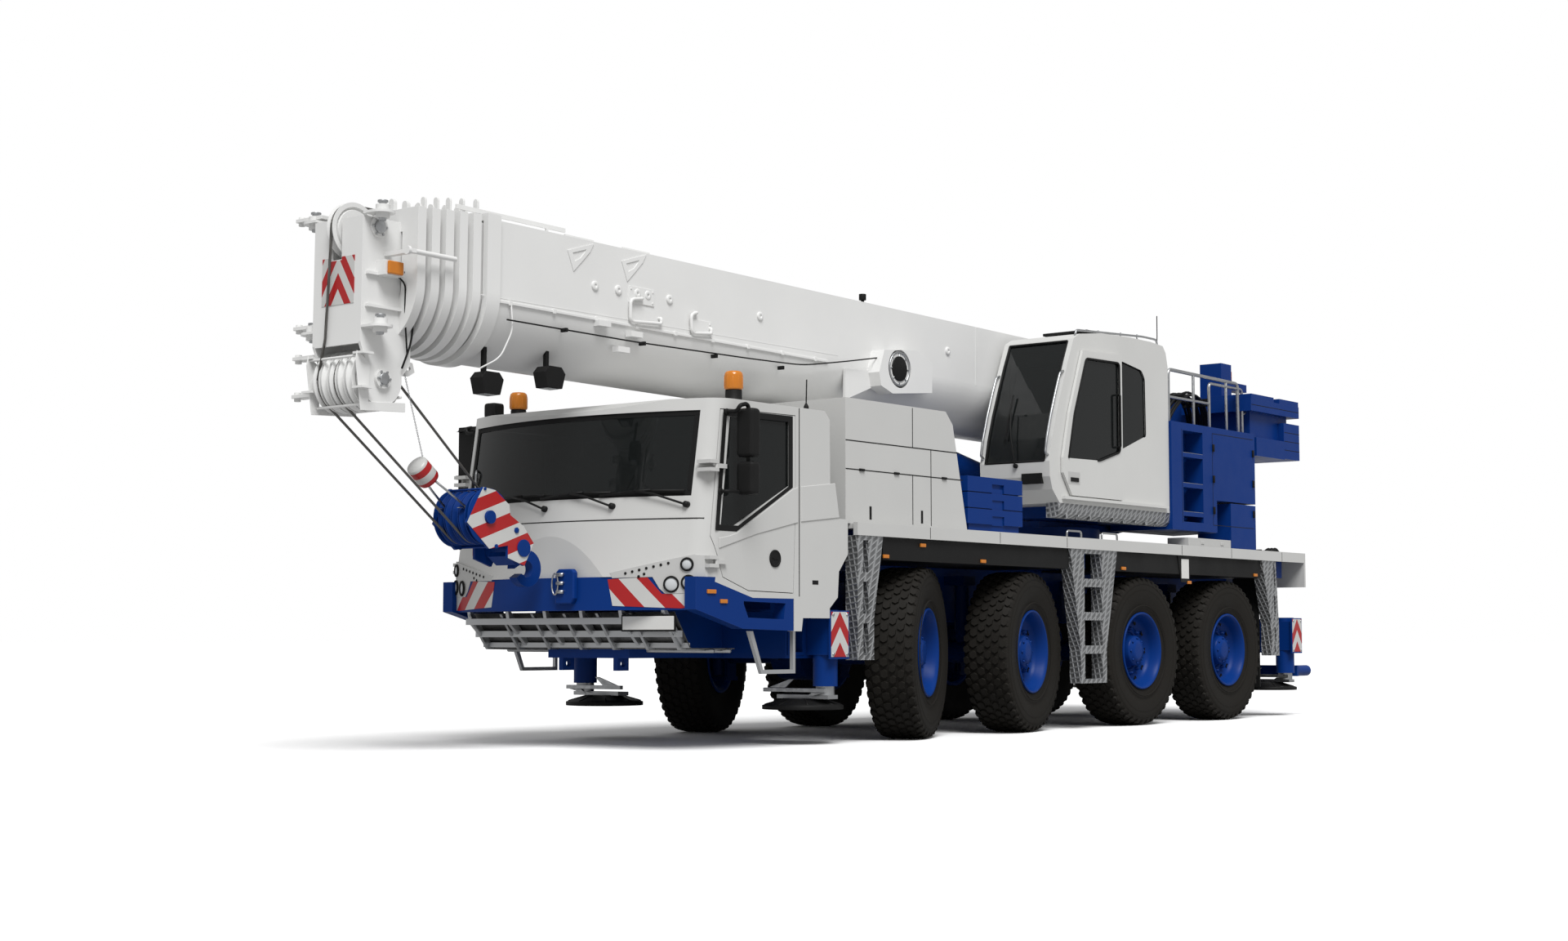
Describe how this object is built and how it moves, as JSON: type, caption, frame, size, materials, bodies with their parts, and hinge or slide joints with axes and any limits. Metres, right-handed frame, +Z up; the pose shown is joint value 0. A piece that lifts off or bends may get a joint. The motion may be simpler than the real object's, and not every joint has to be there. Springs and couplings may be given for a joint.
{
  "type": "all-terrain crane",
  "caption": "Self-driving crane on steered axles with a driver's cab, slewing top with operator's cab, telescopic boom, outriggers and hook block.",
  "frame": {"origin": "on the ground, on the middle plane, under mid-length of the whole machine as parked", "axes": "+X forward, +Y to the driver's left, +Z up"},
  "size_m": [11.925, 2.9, 3.6921],
  "materials": {
    "blue": "gloss paint",
    "white": "gloss paint",
    "zinc": "satin",
    "black": "matt",
    "axle": "satin",
    "engine": "cast",
    "lamp": "gloss",
    "glass": "tinted",
    "tyre": "matt"
  },
  "bodies": {
    "carrier": {"chassis": "blue", "engine": "engine", "axles": "axle", "cab_shell": "white", "cab_glass": "glass", "cab_interior": "black", "bumper": "blue", "lamps": "lamp", "engine_cover": "white", "deck": "white", "mudguards": "black", "ladders": "zinc", "deck_ballast": "blue"},
    "door_left": {"door_left": "white", "door_left_glass": "glass", "door_left_trim": "black"},
    "door_right": {"door_right": "white", "door_right_glass": "glass", "door_right_trim": "black"},
    "knuckle_1l": {"knuckle_1l": "axle"},
    "wheel_1l": {"wheel_1l": "tyre"},
    "knuckle_1r": {"knuckle_1r": "axle"},
    "wheel_1r": {"wheel_1r": "tyre"},
    "knuckle_2l": {"knuckle_2l": "axle"},
    "wheel_2l": {"wheel_2l": "tyre"},
    "knuckle_2r": {"knuckle_2r": "axle"},
    "wheel_2r": {"wheel_2r": "tyre"},
    "knuckle_3l": {"knuckle_3l": "axle"},
    "wheel_3l": {"wheel_3l": "tyre"},
    "knuckle_3r": {"knuckle_3r": "axle"},
    "wheel_3r": {"wheel_3r": "tyre"},
    "knuckle_4l": {"knuckle_4l": "axle"},
    "wheel_4l": {"wheel_4l": "tyre"},
    "knuckle_4r": {"knuckle_4r": "axle"},
    "wheel_4r": {"wheel_4r": "tyre"},
    "beam_fl": {"beam_fl": "blue"},
    "jack_fl": {"jack_fl": "zinc"},
    "beam_fr": {"beam_fr": "blue"},
    "jack_fr": {"jack_fr": "zinc"},
    "beam_rl": {"beam_rl": "blue"},
    "jack_rl": {"jack_rl": "zinc"},
    "beam_rr": {"beam_rr": "blue"},
    "jack_rr": {"jack_rr": "zinc"},
    "superstructure": {"house": "blue", "cabinet": "blue", "counterweight": "blue", "op_cab": "white", "op_glass": "glass", "op_interior": "black"},
    "operator_door": {"op_door": "white", "op_door_glass": "glass"},
    "boom_base": {"boom_base": "white"},
    "boom_1": {"boom_1": "white"},
    "boom_2": {"boom_2": "white"},
    "boom_3": {"boom_3": "white"},
    "boom_4": {"boom_4": "white"},
    "boom_5": {"boom_5": "white"},
    "luff_barrel": {"luff_barrel": "blue"},
    "luff_rod": {"luff_rod": "zinc"},
    "hook_block": {"hook_block": "blue"}
  },
  "joints": [
    {"name": "door_left_swing", "type": "hinge", "parent": "carrier", "child": "door_left", "pos_m": [3.617, 1.262, 1.7], "axis": [0, 0, -1], "range_deg": [0, 70]},
    {"name": "door_right_swing", "type": "hinge", "parent": "carrier", "child": "door_right", "pos_m": [3.617, -1.262, 1.7], "axis": [0, 0, 1], "range_deg": [0, 70]},
    {"name": "steer_1l", "type": "hinge", "parent": "carrier", "child": "knuckle_1l", "pos_m": [1.057, 0.88, 0.67], "axis": [0, 0, 1], "range_deg": [-57, 13]},
    {"name": "spin_1l", "type": "hinge", "parent": "knuckle_1l", "child": "wheel_1l", "pos_m": [1.00268, 1.01444, 0.67], "axis": [-0.3746, 0.9272, 0], "continuous": true},
    {"name": "steer_1r", "type": "hinge", "parent": "carrier", "child": "knuckle_1r", "pos_m": [1.057, -0.88, 0.67], "axis": [0, 0, 1], "range_deg": [-57, 13]},
    {"name": "spin_1r", "type": "hinge", "parent": "knuckle_1r", "child": "wheel_1r", "pos_m": [1.10896, -1.01537, 0.67], "axis": [-0.3584, 0.9336, 0], "continuous": true},
    {"name": "steer_2l", "type": "hinge", "parent": "carrier", "child": "knuckle_2l", "pos_m": [-0.503, 0.88, 0.67], "axis": [0, 0, 1], "range_deg": [-28.5, 6.5]},
    {"name": "spin_2l", "type": "hinge", "parent": "knuckle_2l", "child": "wheel_2l", "pos_m": [-0.53067, 1.02234, 0.67], "axis": [-0.1908, 0.9816, 0], "continuous": true},
    {"name": "steer_2r", "type": "hinge", "parent": "carrier", "child": "knuckle_2r", "pos_m": [-0.503, -0.88, 0.67], "axis": [0, 0, 1], "range_deg": [-28.5, 6.5]},
    {"name": "spin_2r", "type": "hinge", "parent": "knuckle_2r", "child": "wheel_2r", "pos_m": [-0.47982, -1.02313, 0.67], "axis": [-0.1599, 0.9871, 0], "continuous": true},
    {"name": "steer_3l", "type": "hinge", "parent": "carrier", "child": "knuckle_3l", "pos_m": [-2.413, 0.88, 0.67], "axis": [0, 0, 1], "range_deg": [-16.5, 16.5]},
    {"name": "spin_3l", "type": "hinge", "parent": "knuckle_3l", "child": "wheel_3l", "pos_m": [-2.413, 1.025, 0.67], "axis": [0, 1, 0], "continuous": true},
    {"name": "steer_3r", "type": "hinge", "parent": "carrier", "child": "knuckle_3r", "pos_m": [-2.413, -0.88, 0.67], "axis": [0, 0, 1], "range_deg": [-16.5, 16.5]},
    {"name": "spin_3r", "type": "hinge", "parent": "knuckle_3r", "child": "wheel_3r", "pos_m": [-2.413, -1.025, 0.67], "axis": [0, 1, 0], "continuous": true},
    {"name": "steer_4l", "type": "hinge", "parent": "carrier", "child": "knuckle_4l", "pos_m": [-4.093, 0.88, 0.67], "axis": [0, 0, 1], "range_deg": [-30, 30]},
    {"name": "spin_4l", "type": "hinge", "parent": "knuckle_4l", "child": "wheel_4l", "pos_m": [-4.093, 1.025, 0.67], "axis": [0, 1, 0], "continuous": true},
    {"name": "steer_4r", "type": "hinge", "parent": "carrier", "child": "knuckle_4r", "pos_m": [-4.093, -0.88, 0.67], "axis": [0, 0, 1], "range_deg": [-30, 30]},
    {"name": "spin_4r", "type": "hinge", "parent": "knuckle_4r", "child": "wheel_4r", "pos_m": [-4.093, -1.025, 0.67], "axis": [0, 1, 0], "continuous": true},
    {"name": "outrigger_fl_out", "type": "slide", "parent": "carrier", "child": "beam_fl", "axis": [0, 1, 0], "range_m": [0, 1.85]},
    {"name": "jack_fl_down", "type": "slide", "parent": "beam_fl", "child": "jack_fl", "axis": [0, 0, -1], "range_m": [0, 0.6]},
    {"name": "outrigger_fr_out", "type": "slide", "parent": "carrier", "child": "beam_fr", "axis": [0, -1, 0], "range_m": [0, 1.85]},
    {"name": "jack_fr_down", "type": "slide", "parent": "beam_fr", "child": "jack_fr", "axis": [0, 0, -1], "range_m": [0, 0.6]},
    {"name": "outrigger_rl_out", "type": "slide", "parent": "carrier", "child": "beam_rl", "axis": [0, 1, 0], "range_m": [0, 1.85]},
    {"name": "jack_rl_down", "type": "slide", "parent": "beam_rl", "child": "jack_rl", "axis": [0, 0, -1], "range_m": [0, 0.6]},
    {"name": "outrigger_rr_out", "type": "slide", "parent": "carrier", "child": "beam_rr", "axis": [0, -1, 0], "range_m": [0, 1.85]},
    {"name": "jack_rr_down", "type": "slide", "parent": "beam_rr", "child": "jack_rr", "axis": [0, 0, -1], "range_m": [0, 0.6]},
    {"name": "slew", "type": "hinge", "parent": "carrier", "child": "superstructure", "pos_m": [-2.343, 0, 1.7], "axis": [0, 0, 1], "continuous": true},
    {"name": "operator_door_slide", "type": "slide", "parent": "superstructure", "child": "operator_door", "axis": [-1, 0, 0], "range_m": [0, 0.62]},
    {"name": "luff", "type": "hinge", "parent": "superstructure", "child": "boom_base", "pos_m": [-4.093, 0, 2.99], "axis": [0, -1, 0], "range_deg": [0, 81.4]},
    {"name": "telescope_1", "type": "slide", "parent": "boom_base", "child": "boom_1", "axis": [0.9999, 0, 0.0105], "range_m": [0, 8.2]},
    {"name": "telescope_2", "type": "slide", "parent": "boom_1", "child": "boom_2", "axis": [0.9999, 0, 0.0105], "range_m": [0, 8.2]},
    {"name": "telescope_3", "type": "slide", "parent": "boom_2", "child": "boom_3", "axis": [0.9999, 0, 0.0105], "range_m": [0, 8.2]},
    {"name": "telescope_4", "type": "slide", "parent": "boom_3", "child": "boom_4", "axis": [0.9999, 0, 0.0105], "range_m": [0, 8.2]},
    {"name": "telescope_5", "type": "slide", "parent": "boom_4", "child": "boom_5", "axis": [0.9999, 0, 0.0105], "range_m": [0, 8.2]},
    {"name": "luff_cylinder_swing", "type": "hinge", "parent": "superstructure", "child": "luff_barrel", "pos_m": [-2.723, 0, 2.01], "axis": [0, -1, 0], "range_deg": [0, 82.88]},
    {"name": "luff_cylinder_out", "type": "slide", "parent": "luff_barrel", "child": "luff_rod", "axis": [0.9833, 0, 0.1818], "range_m": [0, 2.19499]},
    {"name": "hoist", "type": "slide", "parent": "boom_5", "child": "hook_block", "axis": [0.809, 0, 0.5878], "range_m": [0, 0.35]}
  ],
  "couplings": [
    {"joint": "steer_1r", "follows": "steer_1l", "ratio": 1},
    {"joint": "steer_2l", "follows": "steer_1l", "ratio": 0.5},
    {"joint": "steer_2r", "follows": "steer_1l", "ratio": 0.5},
    {"joint": "steer_3l", "follows": "steer_4l", "ratio": 0.55},
    {"joint": "steer_3r", "follows": "steer_4l", "ratio": 0.55},
    {"joint": "steer_4r", "follows": "steer_4l", "ratio": 1},
    {"joint": "luff_cylinder_swing", "follows": "luff", "ratio": 1.0181},
    {"joint": "luff_cylinder_out", "follows": "luff", "m_per_rad": 1.5449}
  ]
}
